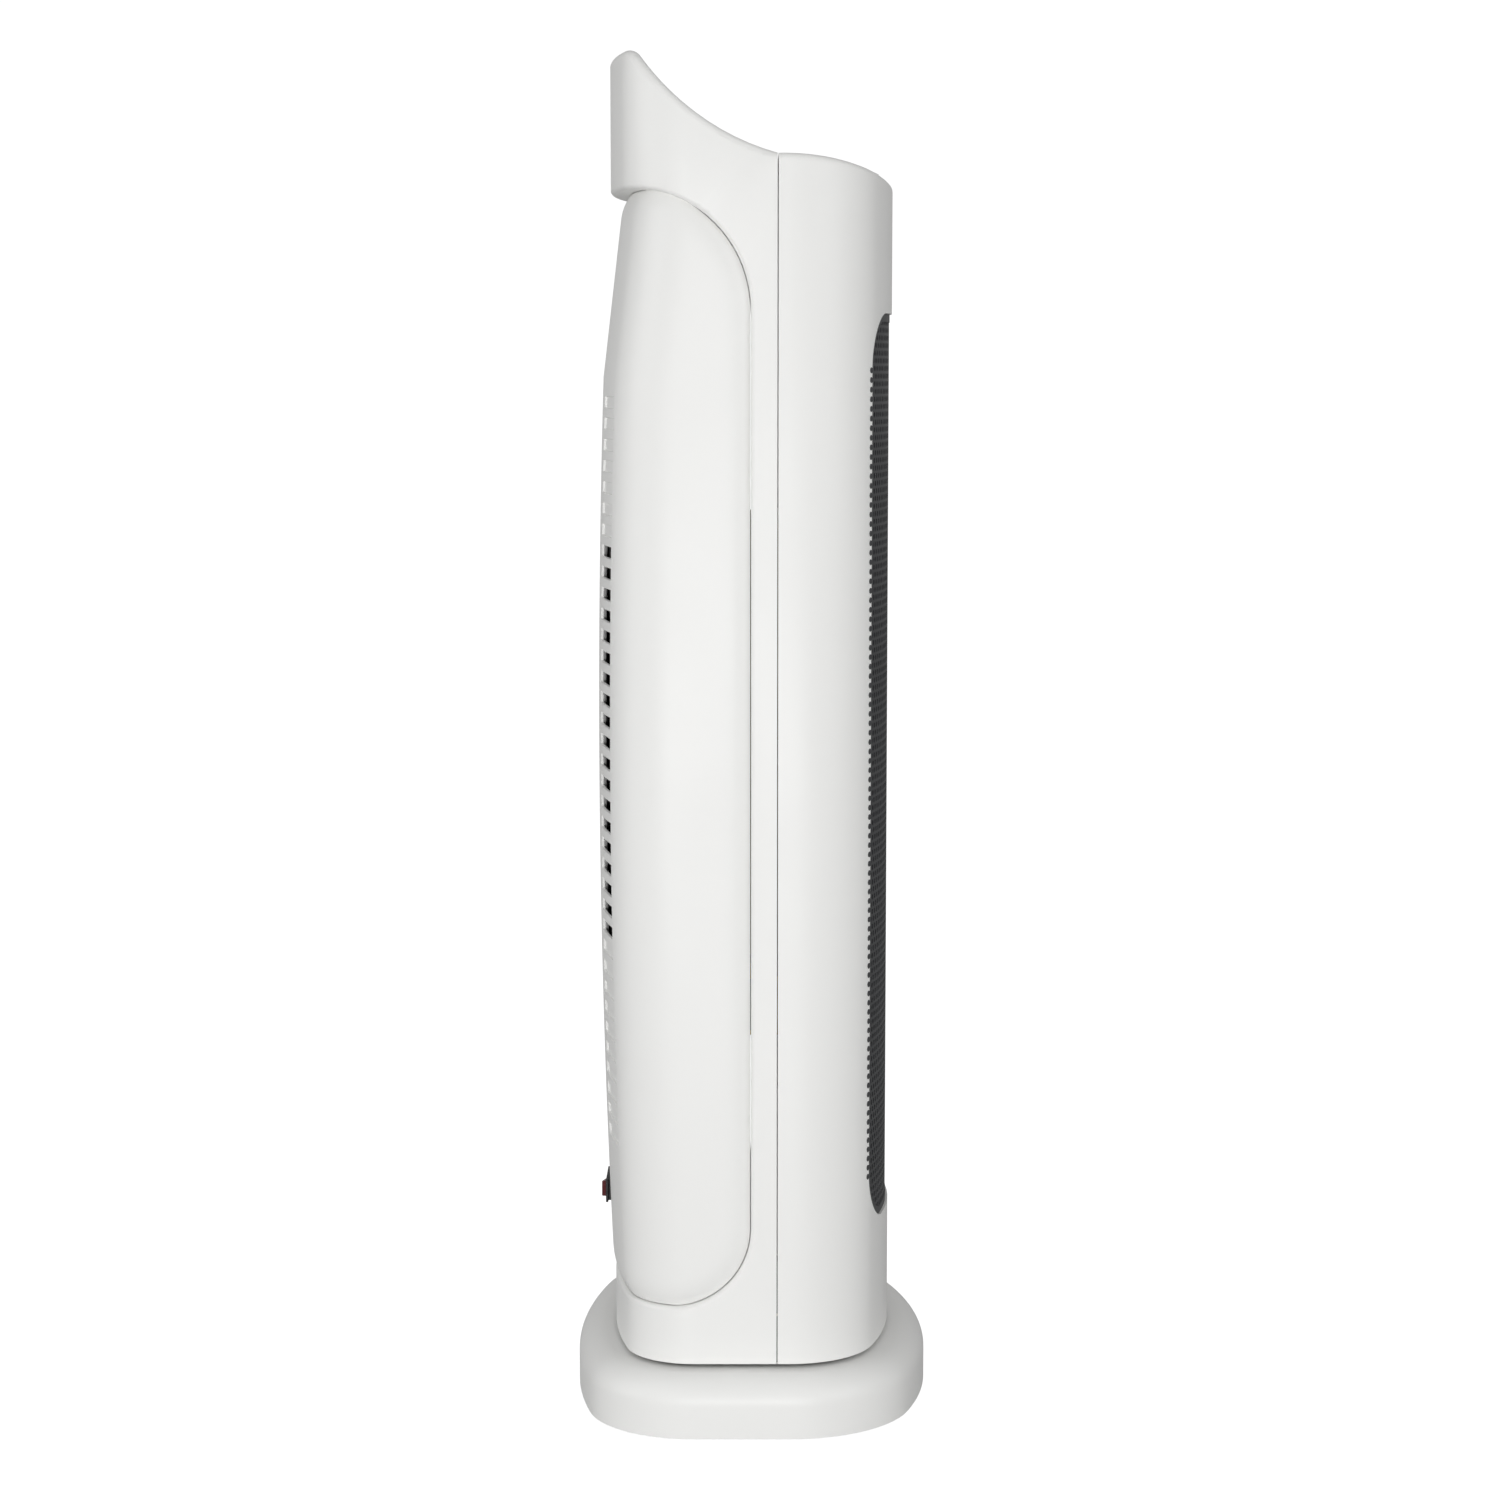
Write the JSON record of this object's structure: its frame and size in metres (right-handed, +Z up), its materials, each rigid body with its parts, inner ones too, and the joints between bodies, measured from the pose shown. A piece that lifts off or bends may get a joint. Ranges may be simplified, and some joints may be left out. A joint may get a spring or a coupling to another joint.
{
  "type": "ceramic tower space heater",
  "caption": "Oscillating ceramic tower heater: a slim shell with a fan, heating element and outlet grille, turning on a wide round-cornered base.",
  "frame": {"origin": "on the floor, on the swivel axis under the tower", "axes": "+Z up, outlet grille faces -Y, rear cover faces +Y, X is left to right"},
  "size_m": [0.193, 0.1545, 0.58],
  "materials": {
    "white_abs": "satin, fine texture",
    "grille_grey": "satin dark grey",
    "black_abs": "satin",
    "nylon_natural": "matt",
    "foot_rubber": "matt",
    "zinc_steel": "zinc plated",
    "laminated_steel": "laminated",
    "aluminium": "plain",
    "ceramic": "fired",
    "heat_board": "matt",
    "coil_tape": "taped",
    "board_green": "lacquered",
    "window_smoke": "smoked",
    "filter_mesh": "woven nylon",
    "button_grey": "satin",
    "rocker_red": "gloss",
    "brass": "plain",
    "bronze": "sintered"
  },
  "bodies": {
    "base": {"base_housing": "white_abs", "base_plate": "black_abs", "rubber_feet": "foot_rubber", "base_screws": "zinc_steel", "cord_gland": "black_abs", "wear_ring": "nylon_natural", "swing_motor": "zinc_steel", "tip_switch": "black_abs"},
    "pinion": {"swing_pinion": "nylon_natural"},
    "plunger": {"tip_plunger": "nylon_natural"},
    "fan": {"fan_rotor": "aluminium", "fan_shaft": "zinc_steel", "motor_core": "laminated_steel"},
    "rocker": {"main_rocker": "rocker_red"},
    "power_key": {"power_button": "button_grey"},
    "mode_key": {"mode_button": "button_grey"},
    "swing_key": {"swing_button": "button_grey"},
    "timer_key": {"timer_button": "button_grey"},
    "thermostat_key": {"thermostat_button": "button_grey"},
    "tower": {"ceramic_bars": "ceramic", "control_board": "board_green", "control_panel": "white_abs", "display_module": "black_abs", "display_window": "window_smoke", "floor_screws": "zinc_steel", "front_grille": "grille_grey", "front_shell": "white_abs", "heater_fins": "aluminium", "heater_frame": "black_abs", "hub_gear": "nylon_natural", "hub_gear_screws": "zinc_steel", "inlet_screen": "filter_mesh", "lower_deck": "heat_board", "motor_bolts": "zinc_steel", "motor_coil": "coil_tape", "motor_foot_bridge": "aluminium", "motor_spacers": "nylon_natural", "motor_stack": "laminated_steel", "motor_top_bridge": "aluminium", "outlet_duct": "heat_board", "rear_cover": "white_abs", "rear_shell": "white_abs", "rocker_body": "black_abs", "scroll_tongue": "heat_board", "scroll_wall": "heat_board", "shaft_bush": "bronze", "tact_switches": "black_abs", "terminal_tabs": "brass", "thermal_cutout": "black_abs", "tower_bottom": "black_abs", "upper_deck": "heat_board"}
  },
  "joints": [
    {"name": "tower_swivel", "type": "hinge", "parent": "base", "child": "tower", "pos_m": [0, 0, 0.027], "axis": [0, 0, 1], "range_deg": [-30, 30]},
    {"name": "pinion_spin", "type": "hinge", "parent": "base", "child": "pinion", "pos_m": [0.04515, 0, 0.02], "axis": [0, 0, 1], "range_deg": [-121, 121]},
    {"name": "fan_spin", "type": "hinge", "parent": "tower", "child": "fan", "pos_m": [0, 0.022, 0.29], "axis": [0, 0, 1], "continuous": true},
    {"name": "rocker_tilt", "type": "hinge", "parent": "tower", "child": "rocker", "pos_m": [0, 0.05958, 0.0865], "axis": [0, 0, 1], "range_deg": [0, 18]},
    {"name": "plunger_slide", "type": "slide", "parent": "base", "child": "plunger", "axis": [0, 0, 1], "range_m": [-0.003, 0], "stiffness_N_per_m": 60, "springref_m": -0.004},
    {"name": "power_button_press", "type": "slide", "parent": "tower", "child": "power_key", "axis": [0, 0.2588, -0.9659], "range_m": [0, 0.0008], "stiffness_N_per_m": 400},
    {"name": "mode_button_press", "type": "slide", "parent": "tower", "child": "mode_key", "axis": [0, 0.2588, -0.9659], "range_m": [0, 0.0008], "stiffness_N_per_m": 400},
    {"name": "swing_button_press", "type": "slide", "parent": "tower", "child": "swing_key", "axis": [0, 0.2588, -0.9659], "range_m": [0, 0.0008], "stiffness_N_per_m": 400},
    {"name": "timer_button_press", "type": "slide", "parent": "tower", "child": "timer_key", "axis": [0, 0.2588, -0.9659], "range_m": [0, 0.0008], "stiffness_N_per_m": 400},
    {"name": "thermostat_button_press", "type": "slide", "parent": "tower", "child": "thermostat_key", "axis": [0, 0.2588, -0.9659], "range_m": [0, 0.0008], "stiffness_N_per_m": 400}
  ],
  "couplings": [
    {"joint": "pinion_spin", "follows": "tower_swivel", "ratio": -4}
  ]
}
